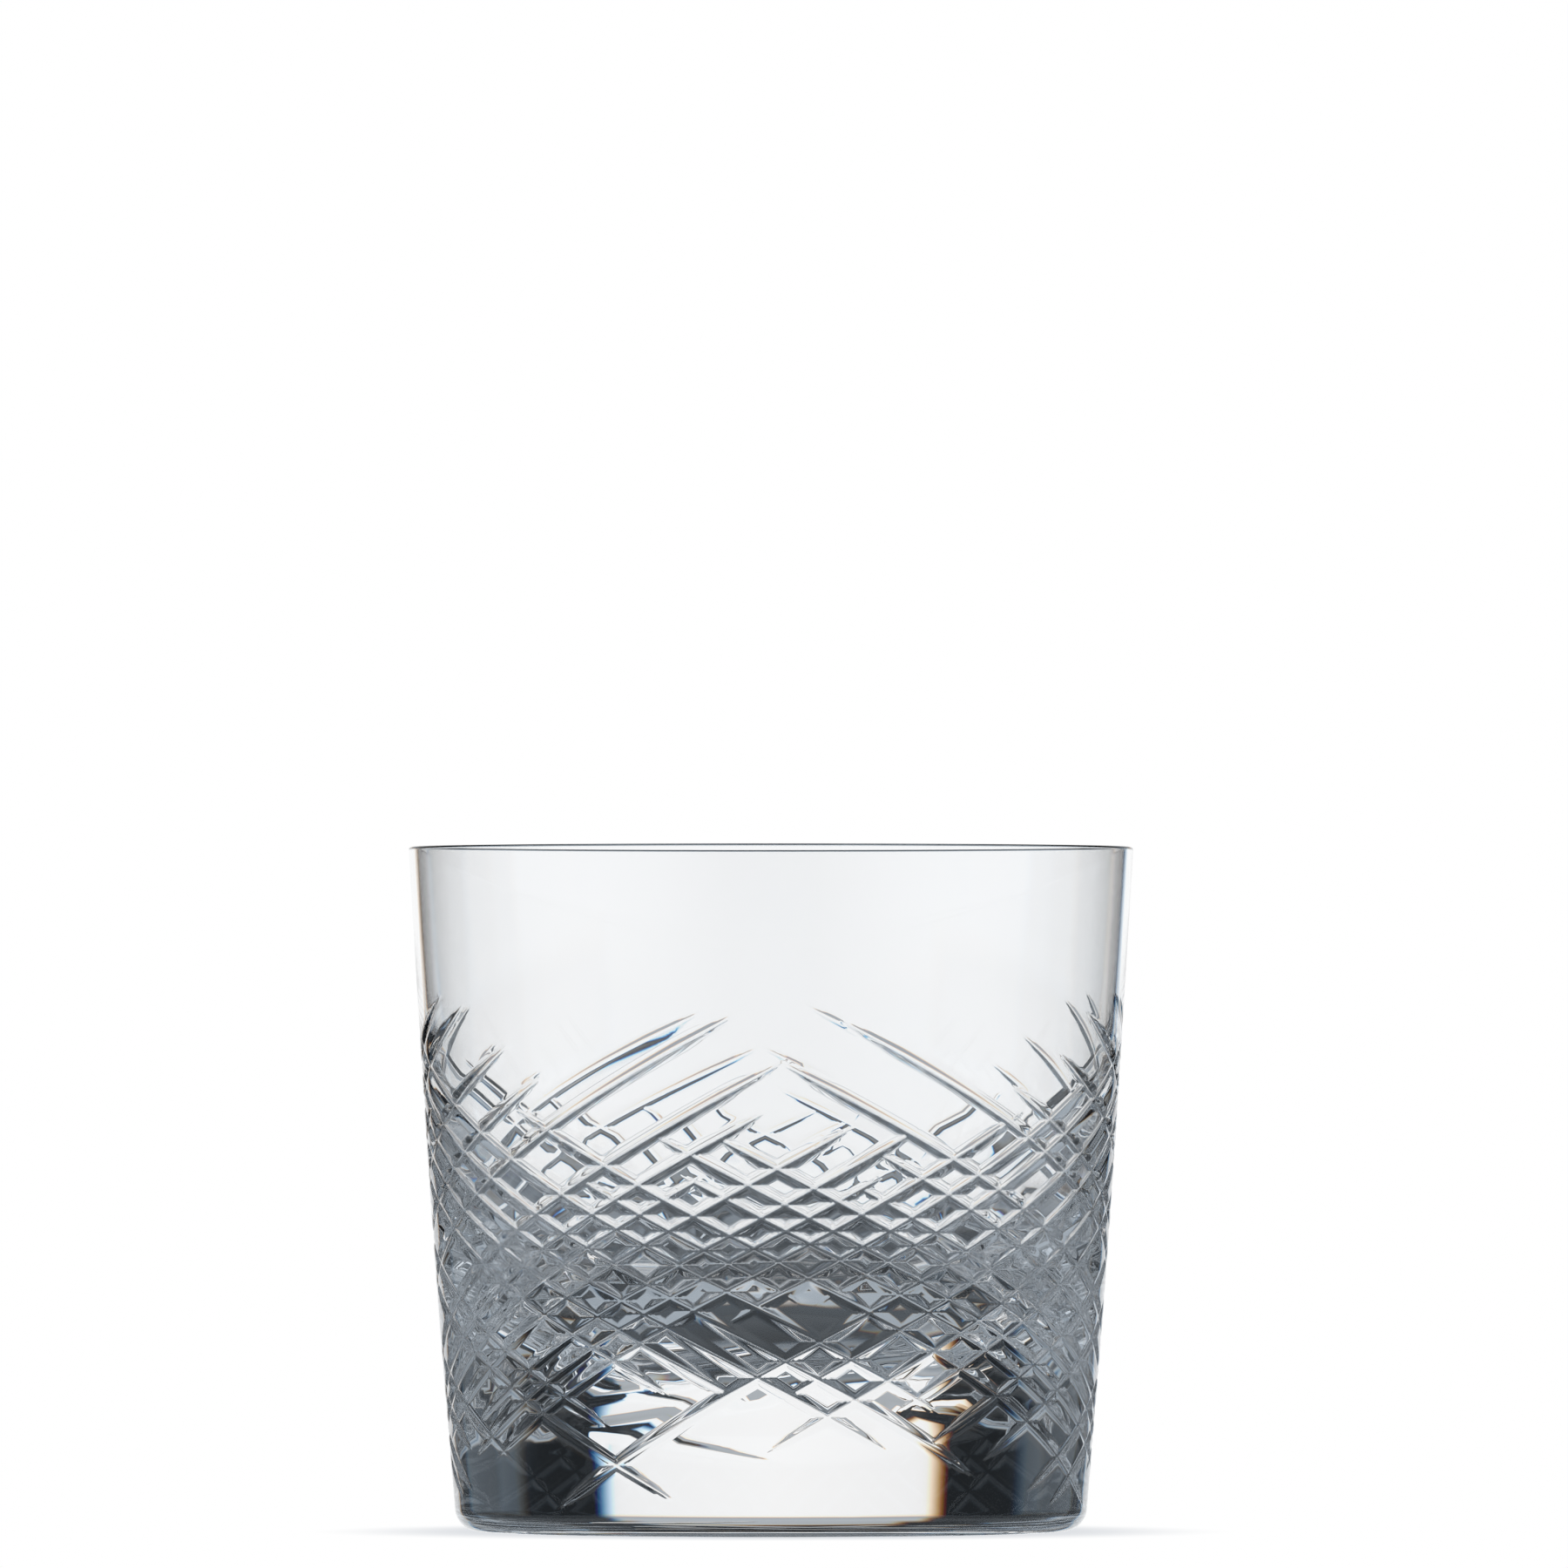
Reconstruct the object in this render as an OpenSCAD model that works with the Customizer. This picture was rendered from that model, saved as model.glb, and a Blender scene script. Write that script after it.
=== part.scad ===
// Whiskey tumbler in clear cut crystal. One piece of glass: a thin rim, a bowl that
// thickens downwards, a heavy solid base, and two families of V-shaped wheel cuts that
// lean opposite ways and cross round the lower two thirds of the wall.
// Millimetres, +Z up, the origin at the middle of the base. The front faces -Y.

/* [Glass] */
// Height from the table to the rim
height = 84; // [78:1:96]
// Outer diameter at the rim
rim_d = 89; // [84:1:100]
// How much the radius shrinks for each mm down the wall
wall_taper = 0.059; // [0.03:0.001:0.08]
// Extra inward curve of the lower wall, measured at the base
belly = 1; // [0:0.1:2]
// Radius of the rounded edge between wall and base
base_edge_r = 3; // [2:0.5:5]
// Wall thickness at the rim
rim_wall = 1.1; // [1:0.1:1.8]
// Height of the rounding over the lip
lip_height = 0.3; // [0.2:0.05:0.5]

/* [Bowl] */
// Solid glass under the middle of the bowl
base_thickness = 19; // [12:1:24]
// Height at which the bowl turns into the wall
bowl_top = 40; // [36:1:46]
// Wall thickness at that height
bowl_wall = 3.2; // [2.8:0.1:4.5]

/* [Cuts] */
// Full depth of a cut
cut_depth = 0.45; // [0.3:0.05:0.8]
// Included angle of the cutting wheel's edge
wheel_angle = 120; // [100:5:130]
// Climb of a rising cut, in mm for each degree round the glass
rising_climb = 0.405; // [0.36:0.005:0.45]
// Drop of a falling cut, in mm for each degree round the glass
falling_climb = 0.385; // [0.36:0.005:0.45]
// Length of the pointed run-out at each end of a cut, in degrees round the glass
run_out = 12; // [10:1:16]

/* [Hidden] */

// The cuts are laid out for a glass of this height, and stretch with the real one.
pattern_height = 84;
stretch = height / pattern_height;
// The pattern repeats this many times round the glass.
repeats = 2;
// Height at which each cut passes the angle given in the lists below.
cut_mid = 30;
// Each cut is [angle at cut_mid, height of its lower end, height of its upper end].
// Angles run from the middle of the front, anticlockwise seen from above.
rising_cuts = [
    [-88, 9, 64], [-66, 5, 58], [-54, 3, 52], [-45, 7, 44], [-35, 11, 50],
    [-23, 13, 50], [-15, 9, 44], [-7, 9, 52], [3, 25, 57], [12, 28, 61],
    [24, 3, 66], [35, 16, 65], [48, 10, 53], [59, 15, 60], [76, 10, 56]
];
falling_cuts = [
    [-73, 13, 55], [-51, 17, 59], [-40, 16, 51], [-30, 10, 64], [-20, 7, 61],
    [-8, 15, 66], [1, 28, 44], [10, 3, 52], [21, 11, 44], [29, 7, 49],
    [39, 4, 49], [47, 5, 43], [61, 10, 47], [73, 9, 58], [96, 4, 63]
];
// Direction of the front in the XY plane.
front = -90;
// A cutter is swept in straight steps of at most this many degrees.
sweep_step = 12;
// How far the flanks of a cutter stand out of the glass.
clearance = 0.5;
// How far above the glass the edge of a cutter starts and ends, so a cut has pointed ends.
lift = 0.04;
// Squareness of the bowl's outline: 1 is an ellipse, and less is squarer.
bowl_square = 0.8;

rim_r = rim_d / 2;
// The wall is a straight cone above this height, and curves in below it.
belly_top = 62 * stretch;

// Outer radius of the glass at height z, without the rounded base edge.
function outer_r(z) =
    let (low = max(0, belly_top - z) / belly_top)
    rim_r - wall_taper * (height - z) - belly * low * low;

// Thickness of the wall at height z. Below bowl_top the bowl rounds in from this line.
function wall_at(z) =
    let (down = (height - z) / (height - bowl_top))
    rim_wall + (bowl_wall - rim_wall) * pow(down, 3);

// Points along an arc about [cx, cz], from angle a0 to angle a1 in n steps.
function arc(cx, cz, r, a0, a1, n) =
    [for (i = [0 : n]) let (a = a0 + (a1 - a0) * i / n) [cx + r * cos(a), cz + r * sin(a)]];

// The rounded edge from the flat base to the wall.
base_edge = arc(outer_r(base_edge_r) - base_edge_r, base_edge_r, base_edge_r, -90, 0, 6);

// The outside of the wall, from the base edge to the top of the belly.
outer_side =
    let (n = 4)
    [for (i = [1 : n]) let (z = base_edge_r + (belly_top - base_edge_r) * i / n) [outer_r(z), z]];

// The lip, with both its edges rounded.
lip = [for (a = [0 : 30 : 180])
    [rim_r - rim_wall / 2 * (1 - cos(a)), height - lip_height * (1 - sin(a))]];

// The inside of the wall, from the lip down to the bowl.
inner_side =
    let (n = 6, top = height - lip_height)
    [for (i = [1 : n - 1]) let (z = top + (bowl_top - top) * i / n) [outer_r(z) - wall_at(z), z]];

// The inside of the bowl, from the wall to its middle.
bowl =
    let (n = 10, deep = bowl_top - base_thickness)
    [for (i = [0 : n])
        let (a = 90 * i / n, z = bowl_top - deep * pow(sin(a), bowl_square))
        [(outer_r(z) - wall_at(z)) * pow(cos(a), bowl_square), z]];

// The glass before it is cut.
module blank() {
    rotate_extrude($fn = 180)
        polygon(concat([[0, 0]], base_edge, outer_side, lip, inner_side, bowl));
}

// Depth of a cut at angle t between its ends t0 and t1: full in the middle, and running
// out along an arc at each end, as a wheel leaves the glass.
function depth_at(t, t0, t1) =
    let (left = 1 - min(1, min(t - t0, t1 - t) / run_out))
    cut_depth * (1 - left * left) - lift * left;

// A point at angle t and height z, standing out of the glass by out.
function on_glass(t, z, out) =
    let (r = outer_r(z) + out)
    [r * cos(front + t), r * sin(front + t), z];

// The cutter's section at angle t and height z: the edge of the wheel, and the corners of
// its two flanks outside the glass. lean is the angle of the cut to the horizontal.
function section(t, z, depth, lean) =
    let (half = (depth + clearance) * tan(wheel_angle / 2),
         dt = half * sin(lean) / outer_r(z) * 180 / PI,
         dz = half * cos(lean))
    [on_glass(t, z, -depth),
     on_glass(t - dt, z + dz, clearance),
     on_glass(t + dt, z - dz, clearance)];

// One cut. It passes angle mid at cut_mid, and climbs by climb mm for each degree.
module cut(mid, low, high, climb) {
    low_end = mid + (low - cut_mid) / climb;
    high_end = mid + (high - cut_mid) / climb;
    t0 = min(low_end, high_end);
    t1 = max(low_end, high_end);
    n = ceil((t1 - t0) / sweep_step);
    step = (t1 - t0) / n;
    lean = atan(climb * stretch * 180 / PI / outer_r(cut_mid));
    // A straight step runs this much deeper at its middle than at its ends.
    sag = outer_r(cut_mid) * (1 - cos(step / 2));
    rings = [for (i = [0 : n])
        let (t = t0 + step * i, z = (cut_mid + (t - mid) * climb) * stretch)
        section(t, z, depth_at(t, t0, t1) - sag / 2, lean)];
    last = 3 * n;
    ends = [[0, 1, 2], [last, last + 2, last + 1]];
    sides = [for (i = [0 : n - 1], side = [0 : 2])
        let (a = 3 * i + side, b = 3 * i + (side + 1) % 3)
        each [[a, a + 3, b + 3], [a, b + 3, b]]];
    polyhedron(points = [for (ring = rings) each ring], faces = concat(ends, sides));
}

module cuts() {
    for (turn = [0 : repeats - 1]) {
        rotate([0, 0, turn * 360 / repeats]) {
            for (c = rising_cuts) cut(c[0], c[1], c[2], rising_climb);
            for (c = falling_cuts) cut(c[0], c[1], c[2], -falling_climb);
        }
    }
}

module tumbler_glass() {
    color([0.85, 0.9, 0.93, 0.45])
        difference() {
            blank();
            cuts();
        }
}

tumbler_glass();
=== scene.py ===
"""A whiskey tumbler in clear cut glass, standing on a pale floor in a bright studio."""

import math

import bmesh
import bpy
import numpy as np
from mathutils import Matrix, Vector


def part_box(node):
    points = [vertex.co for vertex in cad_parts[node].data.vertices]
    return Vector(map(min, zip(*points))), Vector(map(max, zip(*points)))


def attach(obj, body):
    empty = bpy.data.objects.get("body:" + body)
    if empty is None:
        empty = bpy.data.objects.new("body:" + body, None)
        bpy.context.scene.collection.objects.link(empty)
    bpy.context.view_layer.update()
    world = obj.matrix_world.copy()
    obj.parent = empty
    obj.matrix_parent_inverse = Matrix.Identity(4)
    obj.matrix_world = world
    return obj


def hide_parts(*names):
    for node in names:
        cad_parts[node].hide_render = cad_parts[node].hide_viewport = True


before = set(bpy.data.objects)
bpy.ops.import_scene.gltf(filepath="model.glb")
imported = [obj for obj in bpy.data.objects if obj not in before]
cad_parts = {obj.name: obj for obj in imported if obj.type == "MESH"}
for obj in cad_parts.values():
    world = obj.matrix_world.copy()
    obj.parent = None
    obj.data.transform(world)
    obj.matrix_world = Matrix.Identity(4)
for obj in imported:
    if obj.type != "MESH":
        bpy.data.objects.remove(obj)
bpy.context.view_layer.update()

NODE = "tumbler_glass"
MM = 0.001

# The CAD box gives the size. The rest are the CAD source's own values, in millimetres.
box_low, box_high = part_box(NODE)
HEIGHT = (box_high.z - box_low.z) / MM
RIM_R = (box_high.x - box_low.x) / 2 / MM
WALL_TAPER = 0.059
BELLY = 1
BASE_EDGE_R = 3
RIM_WALL = 1.1
LIP_HEIGHT = 0.3
BASE_THICKNESS = 19
BOWL_TOP = 40
BOWL_WALL = 3.2
BOWL_SQUARE = 0.8
CUT_DEPTH = 0.45
WHEEL_ANGLE = 120
RISING_CLIMB = 0.405
FALLING_CLIMB = -0.385
RUN_OUT = 12
REPEATS = 2
CUT_MID = 30
FRONT = -90
LIFT = 0.04
PATTERN_HEIGHT = 84
STRETCH = HEIGHT / PATTERN_HEIGHT
BELLY_TOP = 62 * STRETCH

# Each cut is [angle at CUT_MID, height of its lower end, height of its upper end].
RISING_CUTS = [
    [-88, 9, 64], [-66, 5, 58], [-54, 3, 52], [-45, 7, 44], [-35, 11, 50],
    [-23, 13, 50], [-15, 9, 44], [-7, 9, 52], [3, 25, 57], [12, 28, 61],
    [24, 3, 66], [35, 16, 65], [48, 10, 53], [59, 15, 60], [76, 10, 56],
]  # fmt: skip
FALLING_CUTS = [
    [-73, 13, 55], [-51, 17, 59], [-40, 16, 51], [-30, 10, 64], [-20, 7, 61],
    [-8, 15, 66], [1, 28, 44], [10, 3, 52], [21, 11, 44], [29, 7, 49],
    [39, 4, 49], [47, 5, 43], [61, 10, 47], [73, 9, 58], [96, 4, 63],
]  # fmt: skip

# Polishing rounds the edges of the cuts over about this width, and over the fraction
# LEAST_POLISH of it where a cut runs out.
POLISH = 0.16
LEAST_POLISH = 0.1
# Where two cuts cross, their edges are blended over this depth.
BLEND = 0.06

# The wall is meshed along both families of cuts. Each cut has mesh lines this far either
# side of its middle. Lines nearer than CLOSEST are left out, and gaps wider than MESH_STEP
# are filled.
CUT_LINES = [0, 0.2, 0.42, 0.78, 1.2]
CLOSEST = 0.13
MESH_STEP = 1.5
# The mesh of the wall is made this many degrees and mm too large, and then trimmed.
SPARE_ANGLE = 10
SPARE_HEIGHT = 6
# A vertex this close to a height, in mm, or to an angle, in turns, counts as on it.
ON_HEIGHT = 0.001
ON_ANGLE = 1e-9
# The normals of the cuts come from the slope over this many degrees or mm either way.
NUDGE = 0.01

# The mesh of the cut wall ends at this height, above the highest cut. The rest of the glass
# is rings of SEGMENTS points, in these numbers of steps.
WALL_TOP = 68
SEGMENTS = 192
EDGE_STEPS = 10
LIP_STEPS = 12
INSIDE_STEPS = 17
BOWL_STEPS = 32
# A ring of points this close to an edge keeps the face beside it from being shaded round.
GUARD = 0.04

GLASS_COLOUR = (0.99, 0.991, 0.992, 1)
GLASS_IOR = 1.52
# Roughness left by grinding, at the bottom of a cut, and the size of its grain.
GRIND = 0.008
GRAIN_SCALE = 900
# The blown faces swell and dip by about this much, in metres, at this scale.
SWELL = 0.0005
SWELL_STRENGTH = 0.03
SWELL_SCALE = 60

# The floor and the camera are in metres.
FLOOR_R = 0.35
FLOOR_Z = -0.00005
# The shadow round the base is darkest within the first radius and gone at the second, in mm.
SHADOW_FROM = 33
SHADOW_TO = 58
SHADOW_COLOUR = (0.72, 0.74, 0.77, 1)
WHITE = (1, 1, 1, 1)
CAMERA_X = 0.0016
CAMERA_DISTANCE = 2.8
CAMERA_HEIGHT = 0.058
AIM_HEIGHT = 0.0917
SENSOR = 36
LENS = 523.6


# --- shape -----------------------------------------------------------------------------


def outer_radius(z):
    """Outer radius of the glass at height z, without the rounded base edge."""
    low = np.maximum(0, BELLY_TOP - z) / BELLY_TOP
    return RIM_R - WALL_TAPER * (HEIGHT - z) - BELLY * low * low


def outer_slope(z):
    """How much that radius grows for each mm upwards."""
    return WALL_TAPER + BELLY * 2 * np.maximum(0, BELLY_TOP - z) / BELLY_TOP**2


def wall_at(z):
    """Wall thickness at height z, from the rim down to the bowl."""
    down = (HEIGHT - z) / (HEIGHT - BOWL_TOP)
    return RIM_WALL + (BOWL_WALL - RIM_WALL) * down**3


def base_profile():
    """Radius and height from just below the cut wall, round the edge to the flat base."""
    centre = outer_radius(BASE_EDGE_R) - BASE_EDGE_R
    edge = []
    for i in range(1, EDGE_STEPS + 1):
        a = math.radians(90 * i / EDGE_STEPS)
        edge.append((centre + BASE_EDGE_R * math.cos(a), BASE_EDGE_R * (1 - math.sin(a))))
    return edge + [(centre - GUARD, 0)]


def bowl_profile():
    """Radius and height from just above the cut wall, over the lip and down the bowl."""
    top = HEIGHT - LIP_HEIGHT
    side = [(outer_radius(z), z) for z in ((WALL_TOP + top) / 2, top - GUARD)]
    around = [math.pi * i / LIP_STEPS for i in range(LIP_STEPS + 1)]
    half = RIM_WALL / 2
    middle = outer_radius(top) - half
    lip = [(middle + half * math.cos(a), top + LIP_HEIGHT * math.sin(a)) for a in around]
    heights = [top - GUARD, *np.linspace(top, BOWL_TOP, INSIDE_STEPS + 1)[1:]]
    wall = [(outer_radius(z) - wall_at(z), z) for z in heights]
    deep = BOWL_TOP - BASE_THICKNESS
    bowl = []
    for i in range(1, BOWL_STEPS):
        a = math.radians(90 * i / BOWL_STEPS)
        z = BOWL_TOP - deep * math.sin(a) ** BOWL_SQUARE
        bowl.append(((outer_radius(z) - wall_at(z)) * math.cos(a) ** BOWL_SQUARE, z))
    return side + lip + wall + bowl


def softly(x, width):
    """A ramp that is 0 below 0 and x above it, with a corner rounded over that width."""
    return np.logaddexp(0, x / width) * width


def lean_of(climb):
    """The angle between a cut and the horizontal, in radians."""
    return math.atan(climb * STRETCH * math.degrees(1) / outer_radius(CUT_MID))


def groove(t, h, mid, low, high, climb):
    """Depth of one cut at angles t and pattern heights h."""
    lean = lean_of(climb)
    away = (t - mid + 180) % 360 - 180
    across = (h - CUT_MID - climb * away) * STRETCH * math.cos(lean)
    along = away + np.degrees(across * math.sin(lean) / outer_radius(h * STRETCH))
    ends = [(z - CUT_MID) / climb for z in (low, high)]
    left = 1 - np.minimum(1, np.minimum(along - min(ends), max(ends) - along) / RUN_OUT)
    depth = np.maximum(0, CUT_DEPTH * (1 - left * left) - LIFT * left)
    flank = math.tan(math.radians(90 - WHEEL_ANGLE / 2))
    half = depth / flank
    width = POLISH * (LEAST_POLISH + (1 - LEAST_POLISH) * depth / CUT_DEPTH)
    sides = softly(across + half, width) + softly(across - half, width)
    return flank * (sides - 2 * softly(across, width))


def cut_depth(t, h):
    """How deep the cuts go at angles t and pattern heights h."""
    rising, falling = np.zeros_like(t), np.zeros_like(t)
    for turn in range(REPEATS):
        shift = turn * 360 / REPEATS
        for mid, low, high in RISING_CUTS:
            rising += groove(t, h, mid + shift, low, high, RISING_CLIMB)
        for mid, low, high in FALLING_CUTS:
            falling += groove(t, h, mid + shift, low, high, FALLING_CLIMB)
    near = np.maximum(0, BLEND - abs(rising - falling)) / BLEND
    return np.maximum(rising, falling) + near**2 * BLEND / 4


def mesh_lines(cuts, climb):
    """Pattern heights where the mesh lines along one family of cuts meet the front, over one
    repeat, and the height of a repeat."""
    lean = lean_of(climb)
    period = abs(climb) * 360 / REPEATS
    wanted = set()
    for mid, _, _ in cuts:
        for offset in CUT_LINES:
            for side in (-1, 1):
                at = CUT_MID - climb * mid + side * offset / math.cos(lean) / STRETCH
                wanted.add(round(at % period, 4))
    spaced = []
    for at in sorted(wanted):
        if not spaced or at - spaced[-1] > CLOSEST:
            spaced.append(at)
    lines = []
    for at, after in zip(spaced, spaced[1:] + [spaced[0] + period]):
        pieces = math.ceil((after - at) / MESH_STEP)
        lines += [at + (after - at) * i / pieces for i in range(pieces)]
    return np.array(lines), period


def wall_sheet(bottom, top):
    """The mesh of the cut wall between two pattern heights, with four-sided faces along the
    cuts: the angle and pattern height of each vertex, and the faces."""
    rising, rising_period = mesh_lines(RISING_CUTS, RISING_CLIMB)
    falling, falling_period = mesh_lines(FALLING_CUTS, FALLING_CLIMB)
    n, m = len(rising), len(falling)

    def corner(i, j):
        """Angle and height where line i of one family crosses line j of the other."""
        c = rising[i % n] + rising_period * (i // n)
        d = falling[j % m] + falling_period * (j // m)
        t = (c - d) / (FALLING_CLIMB - RISING_CLIMB)
        return t, c + RISING_CLIMB * t

    # These lines are enough to cross everywhere on the wall, from 0 to 360 degrees.
    i, j = np.meshgrid(np.arange(-3 * n, 3 * n), np.arange(-2 * m, 4 * m), indexing="ij")
    t, h = corner(i, j)
    near = (t > -SPARE_ANGLE) & (t < 360 + SPARE_ANGLE)
    near &= (h > bottom - SPARE_HEIGHT) & (h < top + SPARE_HEIGHT)
    keys = list(zip(i[near].tolist(), j[near].tolist()))
    sheet = bmesh.new()
    made, own = {}, []
    for key in keys:
        angle, height = corner(*key)
        if math.floor(angle / 360 + ON_ANGLE) == 0:
            own.append(key)
            a = math.radians(angle)
            made[key] = sheet.verts.new((math.cos(a), math.sin(a), height))
    # A crossing outside 0 to 360 degrees is the same vertex as one inside.
    for i, j in keys:
        for turn in (-1, 1):
            same = (i + turn * REPEATS * n, j - turn * REPEATS * m)
            if (i, j) not in made and same in made:
                made[(i, j)] = made[same]
    for i, j in own:
        corners = [made.get(k) for k in ((i, j), (i + 1, j), (i + 1, j + 1), (i, j + 1))]
        if all(corners):
            sheet.faces.new(corners)
    for height, out in ((bottom, -1), (top, 1)):
        bmesh.ops.bisect_plane(
            sheet,
            geom=sheet.verts[:] + sheet.edges[:] + sheet.faces[:],
            dist=ON_HEIGHT,
            plane_co=(0, 0, height),
            plane_no=(0, 0, out),
            clear_outer=True,
        )
    sheet.verts.index_update()
    x, y, h = np.array([v.co for v in sheet.verts]).T
    t = np.degrees(np.arctan2(y, x)) % 360
    faces = [[v.index for v in f.verts] for f in sheet.faces]
    sheet.free()
    return t, h, faces


def wall_points(t, h):
    """Places, in millimetres, and normals on the cut wall."""
    z = h * STRETCH
    r = outer_radius(z) - cut_depth(t, h)
    around = -(cut_depth(t + NUDGE, h) - cut_depth(t - NUDGE, h)) / (2 * math.radians(NUDGE))
    up = -(cut_depth(t, h + NUDGE) - cut_depth(t, h - NUDGE)) / (2 * NUDGE * STRETCH)
    up += outer_slope(z)
    a = np.radians(FRONT + t)
    radial = np.stack([np.cos(a), np.sin(a), 0 * a], 1)
    tangent = np.stack([-np.sin(a), np.cos(a), 0 * a], 1)
    normals = radial - tangent * (around / r)[:, None]
    normals[:, 2] = -up
    normals /= np.linalg.norm(normals, axis=1)[:, None]
    places = radial * r[:, None]
    places[:, 2] = z
    return places, normals


def rings(points):
    """Vertices of rings of SEGMENTS points each, one ring for each (radius, height)."""
    a = np.radians(FRONT + np.arange(SEGMENTS) * 360 / SEGMENTS)
    return [(r * np.cos(x), r * np.sin(x), z) for r, z in points for x in a]


def zip_rings(edge, angles, ring):
    """Triangles between an uneven ring of vertices, at rising angles, and an even one."""
    faces = []
    i = j = 0
    n, m = len(edge), SEGMENTS
    after = list(angles[1:]) + [angles[0] + 360]
    while i < n or j < m:
        if j == m or i < n and after[i] <= (j + 1) * 360 / m:
            faces.append((edge[i], edge[(i + 1) % n], ring + j % m))
            i += 1
        else:
            faces.append((edge[i % n], ring + (j + 1) % m, ring + j % m))
            j += 1
    return faces


def ring_faces(first, count):
    """Four-sided faces between even rings of vertices, one after another from first."""
    faces = []
    for k in range(count - 1):
        a = first + k * SEGMENTS
        for i in range(SEGMENTS):
            j = (i + 1) % SEGMENTS
            faces.append((a + i, a + j, a + SEGMENTS + j, a + SEGMENTS + i))
    return faces


def fan(first, centre):
    """Triangles between an even ring of vertices and one in its middle."""
    return [(first + i, first + (i + 1) % SEGMENTS, centre) for i in range(SEGMENTS)]


def finish_mesh(mesh, normals, depths):
    """Makes triangles, and gives the vertices their normals and how deeply they are cut. A
    normal of zero is left to Blender."""
    work = bmesh.new()
    work.from_mesh(mesh)
    wall_normal = work.verts.layers.float_vector.new("wall_normal")
    cut = work.verts.layers.float.new("cut")
    for v in work.verts:
        v[wall_normal] = normals[v.index]
        v[cut] = depths[v.index]
    # Crossings of the mesh lines at the edge of the wall may be in no face.
    bmesh.ops.delete(work, geom=[v for v in work.verts if not v.link_faces], context="VERTS")
    bmesh.ops.triangulate(work, faces=work.faces[:])
    bmesh.ops.recalc_face_normals(work, faces=work.faces[:])
    for f in work.faces:
        f.smooth = True
    kept = [v[wall_normal][:] for v in work.verts]
    work.verts.layers.float_vector.remove(wall_normal)
    work.to_mesh(mesh)
    work.free()
    mesh.normals_split_custom_set_from_vertices(kept)


def build_glass():
    """The whole glass as one closed mesh."""
    bottom, top = BASE_EDGE_R / STRETCH, WALL_TOP / STRETCH
    t, h, faces = wall_sheet(bottom, top)
    places, wall_normals = wall_points(t, h)
    vertices = [tuple(p) for p in places]

    def close(edge_height, points, centre):
        """Adds rings from an edge of the wall through the points to the glass's axis."""
        edge = sorted(np.nonzero(abs(h - edge_height) <= ON_HEIGHT)[0], key=lambda i: t[i])
        first = len(vertices)
        vertices.extend(rings(points))
        vertices.append((0, 0, centre))
        faces.extend(zip_rings(edge, [t[i] for i in edge], first))
        faces.extend(ring_faces(first, len(points)))
        faces.extend(fan(first + (len(points) - 1) * SEGMENTS, len(vertices) - 1))

    close(bottom, base_profile(), 0)
    close(top, bowl_profile(), BASE_THICKNESS)
    mesh = bpy.data.meshes.new("tumbler")
    mesh.from_pydata([[c * MM for c in v] for v in vertices], [], faces)
    normals = np.zeros((len(vertices), 3))
    normals[: len(wall_normals)] = wall_normals
    depths = np.zeros(len(vertices))
    depths[: len(t)] = cut_depth(t, h) / CUT_DEPTH
    finish_mesh(mesh, normals, depths)
    obj = bpy.data.objects.new("tumbler", mesh)
    bpy.context.collection.objects.link(obj)
    return obj


# --- materials -------------------------------------------------------------------------


def nodes_of(owner):
    """The empty node tree of a material or world."""
    owner.use_nodes = True
    tree = owner.node_tree
    tree.nodes.clear()
    return tree


def glass_material():
    """Clear polished glass. The blown faces are faintly wavy and the cuts finely ground."""
    material = bpy.data.materials.new("clear_glass")
    tree = nodes_of(material)
    node, link = tree.nodes.new, tree.links.new
    out = node("ShaderNodeOutputMaterial")
    shader = node("ShaderNodeBsdfPrincipled")
    shader.inputs["Base Color"].default_value = GLASS_COLOUR
    shader.inputs["IOR"].default_value = GLASS_IOR
    shader.inputs["Transmission Weight"].default_value = 1
    link(shader.outputs["BSDF"], out.inputs["Surface"])
    place = node("ShaderNodeTexCoord")

    cut = node("ShaderNodeAttribute")
    cut.attribute_name = "cut"
    grain = node("ShaderNodeTexNoise")
    grain.inputs["Scale"].default_value = GRAIN_SCALE
    link(place.outputs["Object"], grain.inputs["Vector"])
    ground = node("ShaderNodeMath")
    ground.operation = "MULTIPLY"
    link(cut.outputs["Fac"], ground.inputs[0])
    link(grain.outputs["Fac"], ground.inputs[1])
    rough = node("ShaderNodeMapRange")
    rough.inputs["To Max"].default_value = GRIND
    link(ground.outputs[0], rough.inputs["Value"])
    link(rough.outputs["Result"], shader.inputs["Roughness"])

    swell = node("ShaderNodeTexNoise")
    swell.inputs["Scale"].default_value = SWELL_SCALE
    swell.inputs["Detail"].default_value = 1
    link(place.outputs["Object"], swell.inputs["Vector"])
    bump = node("ShaderNodeBump")
    bump.inputs["Strength"].default_value = SWELL_STRENGTH
    bump.inputs["Distance"].default_value = SWELL
    link(swell.outputs["Fac"], bump.inputs["Height"])
    link(bump.outputs["Normal"], shader.inputs["Normal"])
    return material


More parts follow.
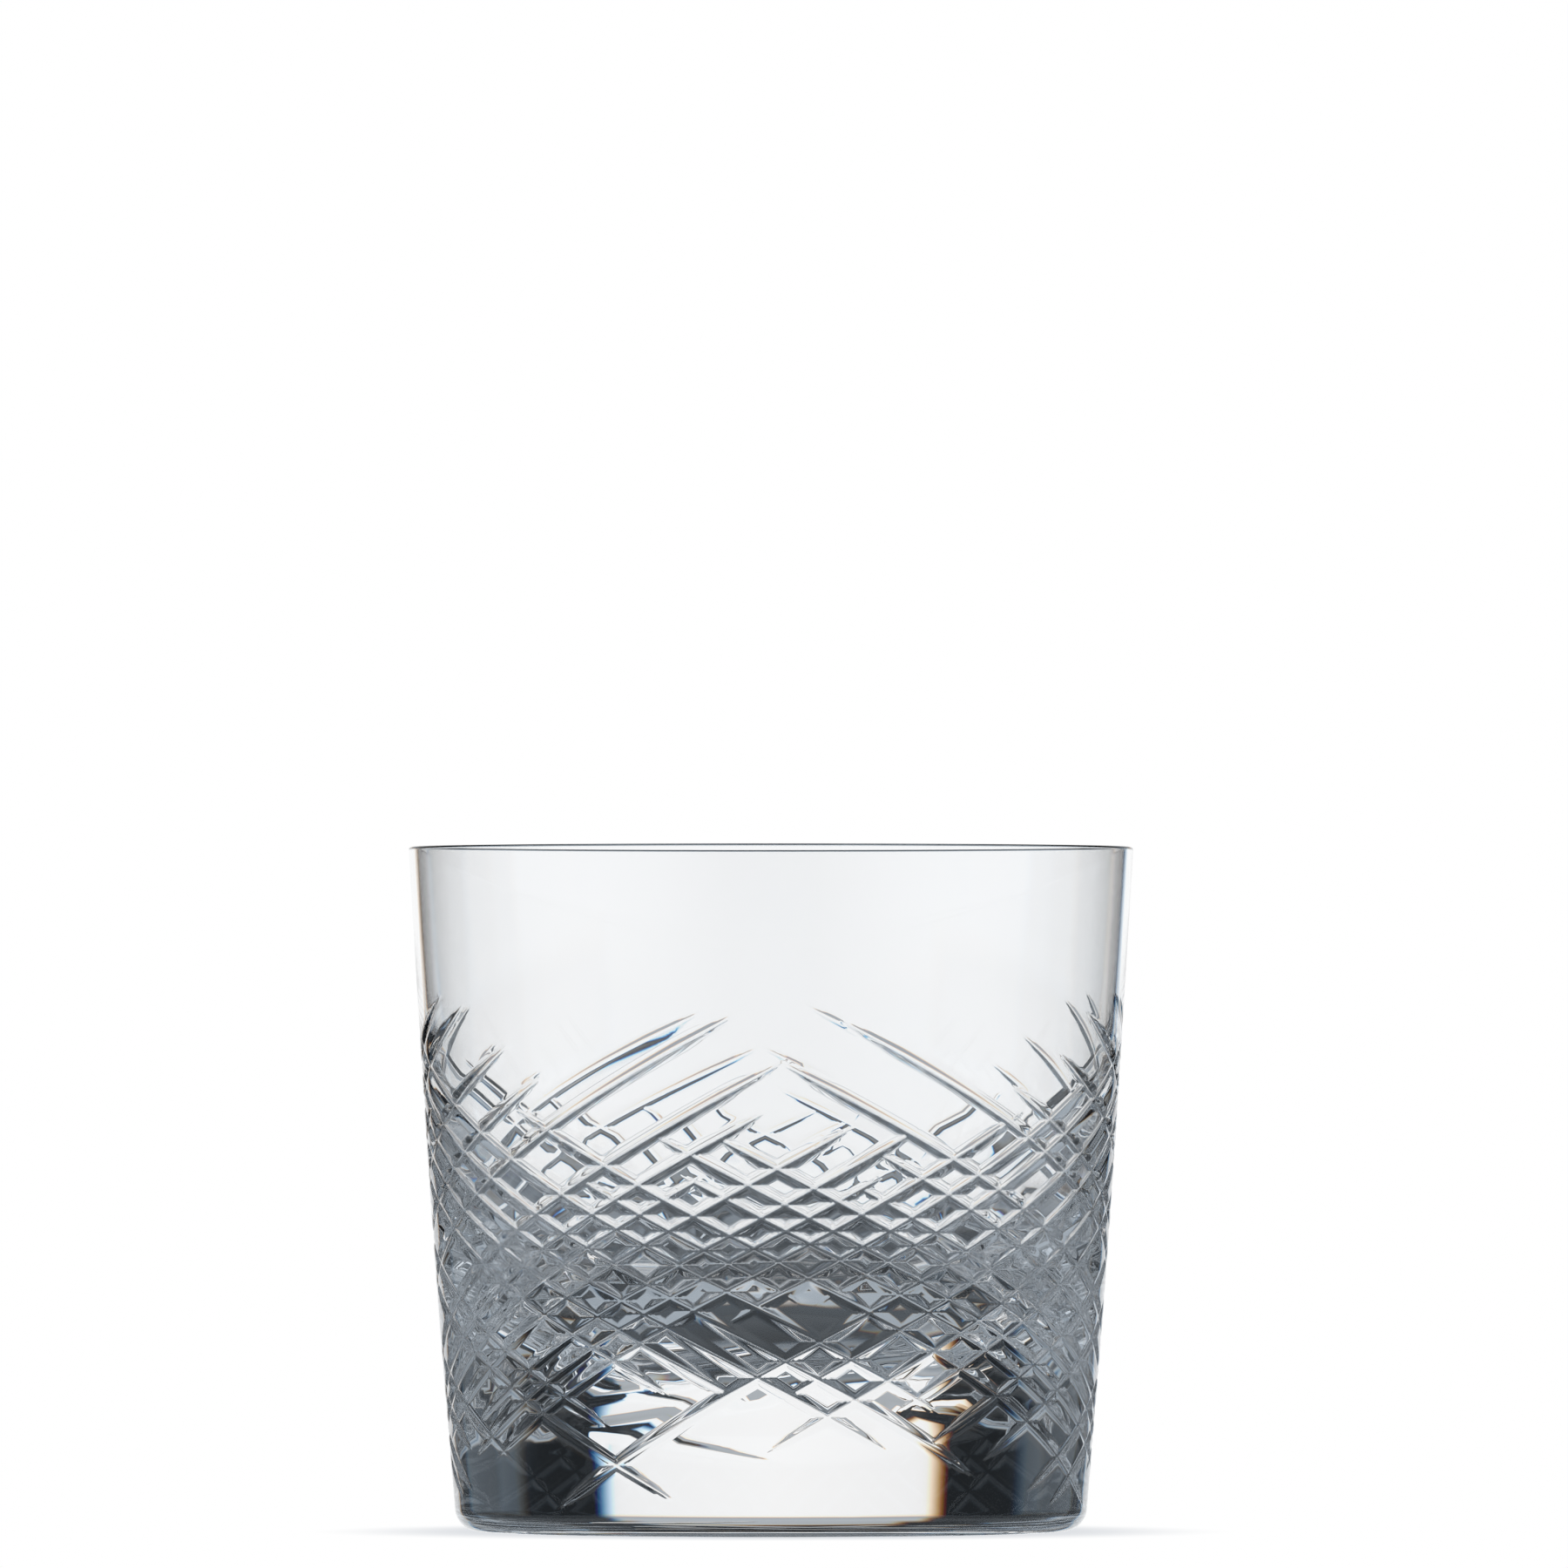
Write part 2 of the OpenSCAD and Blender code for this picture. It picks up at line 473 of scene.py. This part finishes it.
def floor_material():
    """A white floor that fades into the backdrop, with a soft shadow round the glass."""
    material = bpy.data.materials.new("pale_floor")
    tree = nodes_of(material)
    node, link = tree.nodes.new, tree.links.new
    out = node("ShaderNodeOutputMaterial")
    glow = node("ShaderNodeEmission")
    place = node("ShaderNodeTexCoord")
    reach = node("ShaderNodeVectorMath")
    reach.operation = "LENGTH"
    fade = node("ShaderNodeMapRange")
    fade.interpolation_type = "SMOOTHSTEP"
    fade.inputs["From Min"].default_value = SHADOW_FROM * MM
    fade.inputs["From Max"].default_value = SHADOW_TO * MM
    shade = node("ShaderNodeMix")
    shade.data_type = "RGBA"
    shade.inputs["A"].default_value = SHADOW_COLOUR
    shade.inputs["B"].default_value = WHITE
    link(place.outputs["Object"], reach.inputs[0])
    link(reach.outputs["Value"], fade.inputs["Value"])
    link(fade.outputs["Result"], shade.inputs["Factor"])
    link(shade.outputs["Result"], glow.inputs["Color"])
    link(glow.outputs[0], out.inputs["Surface"])
    return material


# --- studio ----------------------------------------------------------------------------

# What the glass sees round it. Each row is [elevation, [[azimuth, brightness], ...]], in
# degrees, and both sides are alike. Azimuth 0 is behind the glass and 180 is behind the
# camera. A white panel stands behind the glass with black either side of it, and there are
# strip lights at the sides and soft boxes above. Low down it is dark behind the glass, and
# brighter elsewhere.
STUDIO = [
    [-88, [[0, 0.6], [180, 0.6]]],
    [-80, [[0, 0.06], [42, 0.08], [52, 0.4], [180, 0.45]]],
    [-50, [[0, 0.05], [40, 0.06], [46, 0.38], [180, 0.45]]],
    [-34, [[0, 0.04], [12, 0.05], [13, 0.25], [22, 0.25], [23, 0.04], [39, 0.04],
           [42, 0.4], [90, 0.42], [120, 0.6], [180, 0.6]]],
    [-21, [[0, 0.25], [12, 0.25], [13, 0.45], [22, 0.45], [23.5, 0.01], [39, 0.01],
           [42, 0.42], [90, 0.45], [120, 0.65], [180, 0.65]]],
    [-15, [[0, 0.04], [12, 0.05], [13, 0.35], [22, 0.35], [23.5, 0.01], [39, 0.01],
           [42, 0.4], [64, 0.4], [90, 0.45], [120, 0.65], [180, 0.65]]],
    [-13, [[0, 0.9], [21, 0.85], [23.5, 0.01], [39, 0.01], [42, 0.5], [64, 0.4],
           [68, 0.12], [122, 0.15], [126, 0.6], [180, 0.65]]],
    [-8, [[0, 0.98], [21, 0.93], [23.5, 0.01], [38, 0.01], [41, 0.2], [62, 0.2],
          [66, 0.1], [122, 0.15], [126, 0.6], [180, 0.65]]],
    [-6, [[0, 0.98], [21, 0.93], [23.5, 0.01], [38, 0.01], [41, 0.35], [62, 0.4],
          [66, 0.75], [112, 0.75], [180, 0.5]]],
    [-4, [[0, 0.98], [21, 0.95], [23.5, 0.01], [36, 0.02], [39, 0.4], [62, 0.45],
          [65, 0.8], [112, 0.8], [115, 0.6], [180, 0.5]]],
    [3, [[0, 0.97], [21, 0.93], [23.5, 0.01], [39, 0.01], [42, 0.08], [70, 0.06],
         [74, 0.3], [85, 0.45], [95, 0.6], [98, 0.75], [118, 0.8], [122, 0.4], [180, 0.3]]],
    [5.5, [[0, 0.95], [21, 0.9], [23.5, 0.01], [39, 0.01], [42, 0.07], [72, 0.05],
           [75, 0.25], [83, 0.3], [86, 0.75], [120, 0.9], [142, 0.7], [165, 0.3],
           [180, 0.3]]],
    [7.5, [[0, 0.4], [21, 0.4], [23.5, 0.01], [39, 0.01], [42, 0.07], [72, 0.05],
           [75, 0.25], [83, 0.3], [86, 0.8], [120, 0.9], [142, 0.7], [165, 0.3],
           [180, 0.3]]],
    [11.5, [[0, 0.45], [20, 0.45], [22, 0.01], [84, 0.01], [87, 0.4], [140, 0.4],
            [165, 0.1], [180, 0.1]]],
    [17, [[0, 0.45], [16, 0.4], [18, 0.01], [180, 0.02]]],
    [19, [[0, 0.01], [55, 0.01], [60, 0.35], [115, 0.35], [120, 0.02], [180, 0.02]]],
    [34, [[0, 0.01], [55, 0.01], [60, 0.35], [115, 0.35], [120, 0.02], [180, 0.02]]],
    [37, [[0, 0.01], [30, 0.01], [32, 0.55], [60, 0.55], [64, 0.06], [85, 0.08], [88, 0.3],
          [140, 0.25], [160, 0.08], [180, 0.08]]],
    [48, [[0, 0.01], [28, 0.02], [30, 0.6], [60, 0.55], [64, 0.08], [85, 0.08], [88, 0.3],
          [140, 0.25], [160, 0.08], [180, 0.08]]],
    [70, [[0, 0.45], [45, 0.4], [48, 0.06], [180, 0.08]]],
]  # fmt: skip
# The studio is slightly bluer beyond this azimuth, and where it is dark.
SIDES_FROM = 30
SIDE_BLUE = 0.05
DARK_BLUE = 0.12
# How far apart, in degrees, the glass sees red, green and blue.
FRINGE = 0.45


def tinted(value, azimuth):
    """A grey that turns slightly blue as it darkens, and at the sides of the studio."""
    cool = DARK_BLUE * (1 - value) + (SIDE_BLUE if azimuth > SIDES_FROM else 0)
    return (value * (1 - cool), value, value * (1 + cool), 1)


def studio_group():
    """A node group that gives the studio's light from a direction."""
    tree = bpy.data.node_groups.new("studio_light", "ShaderNodeTree")
    tree.interface.new_socket("Direction", in_out="INPUT", socket_type="NodeSocketVector")
    tree.interface.new_socket("Light", in_out="OUTPUT", socket_type="NodeSocketColor")
    node, link = tree.nodes.new, tree.links.new
    given = node("NodeGroupInput")
    result = node("NodeGroupOutput")
    split = node("ShaderNodeSeparateXYZ")
    link(given.outputs["Direction"], split.inputs[0])

    def calculate(operation, *values):
        """A maths node's result. A value is a number or another node's result."""
        made = node("ShaderNodeMath")
        made.operation = operation
        for socket, value in zip(made.inputs, values):
            if isinstance(value, float):
                socket.default_value = value
            else:
                link(value, socket)
        return made.outputs[0]

    turn = calculate("ARCTAN2", split.outputs["X"], split.outputs["Y"])
    azimuth = calculate("DIVIDE", calculate("ABSOLUTE", turn), math.pi)
    elevation = calculate("ARCSINE", split.outputs["Z"])
    light = None
    for i, (height, stops) in enumerate(STUDIO):
        ramp = node("ShaderNodeValToRGB")
        elements = ramp.color_ramp.elements
        while len(elements) < len(stops):
            elements.new(0.5)
        for element, (angle, value) in zip(elements, stops):
            element.position = angle / 180
            element.color = tinted(value, angle)
        link(azimuth, ramp.inputs["Fac"])
        if light is None:
            light = ramp.outputs["Color"]
            continue
        blend = node("ShaderNodeMapRange")
        blend.interpolation_type = "SMOOTHSTEP"
        blend.inputs["From Min"].default_value = math.radians(STUDIO[i - 1][0])
        blend.inputs["From Max"].default_value = math.radians(height)
        link(elevation, blend.inputs["Value"])
        mix = node("ShaderNodeMix")
        mix.data_type = "RGBA"
        link(blend.outputs["Result"], mix.inputs["Factor"])
        link(light, mix.inputs["A"])
        link(ramp.outputs["Color"], mix.inputs["B"])
        light = mix.outputs["Result"]
    link(light, result.inputs["Light"])
    return tree


def studio_world():
    """A white backdrop for the camera, and the studio round it for the glass."""
    world = bpy.data.worlds.new("studio")
    bpy.context.scene.world = world
    tree = nodes_of(world)
    node, link = tree.nodes.new, tree.links.new
    out = node("ShaderNodeOutputWorld")
    white = node("ShaderNodeBackground")
    white.inputs["Color"].default_value = WHITE
    glow = node("ShaderNodeBackground")
    path = node("ShaderNodeLightPath")
    pick = node("ShaderNodeMixShader")
    link(path.outputs["Is Camera Ray"], pick.inputs[0])
    link(glow.outputs[0], pick.inputs[1])
    link(white.outputs[0], pick.inputs[2])
    link(pick.outputs[0], out.inputs["Surface"])
    place = node("ShaderNodeTexCoord")
    join = node("ShaderNodeCombineColor")
    group = studio_group()
    for channel, shift in (("Red", -FRINGE), ("Green", 0), ("Blue", FRINGE)):
        turn = node("ShaderNodeVectorRotate")
        turn.rotation_type = "EULER_XYZ"
        turn.inputs["Rotation"].default_value = (math.radians(shift), 0, math.radians(shift))
        link(place.outputs["Generated"], turn.inputs["Vector"])
        light = node("ShaderNodeGroup")
        light.node_tree = group
        link(turn.outputs[0], light.inputs["Direction"])
        parts = node("ShaderNodeSeparateColor")
        link(light.outputs["Light"], parts.inputs["Color"])
        link(parts.outputs[channel], join.inputs[channel])
    link(join.outputs["Color"], glow.inputs["Color"])


def add_floor():
    """A pale floor that the camera sees. The glass sees only the studio."""
    bpy.ops.mesh.primitive_circle_add(
        vertices=128, radius=FLOOR_R, fill_type="NGON", location=(0, 0, FLOOR_Z)
    )
    floor = bpy.context.object
    floor.name = "floor"
    floor.data.materials.append(floor_material())
    floor.visible_transmission = False
    floor.visible_glossy = False


def add_camera():
    """A long lens well in front of the glass, slightly above the middle of its height."""
    data = bpy.data.cameras.new("camera")
    data.sensor_width = SENSOR
    data.lens = LENS
    data.clip_end = 20
    camera = bpy.data.objects.new("camera", data)
    camera.location = (CAMERA_X, -CAMERA_DISTANCE, CAMERA_HEIGHT)
    target = Vector((CAMERA_X, 0, AIM_HEIGHT))
    camera.rotation_euler = (target - camera.location).to_track_quat("-Z", "Y").to_euler()
    bpy.context.collection.objects.link(camera)
    bpy.context.scene.camera = camera


# --- build -----------------------------------------------------------------------------

tumbler = build_glass()
tumbler.data.materials.append(glass_material())
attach(tumbler, "root")
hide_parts(NODE)

add_floor()
studio_world()
add_camera()

scene = bpy.context.scene
scene.view_settings.view_transform = "Standard"
scene.cycles.max_bounces = 32
scene.cycles.transmission_bounces = 32
scene.cycles.glossy_bounces = 16
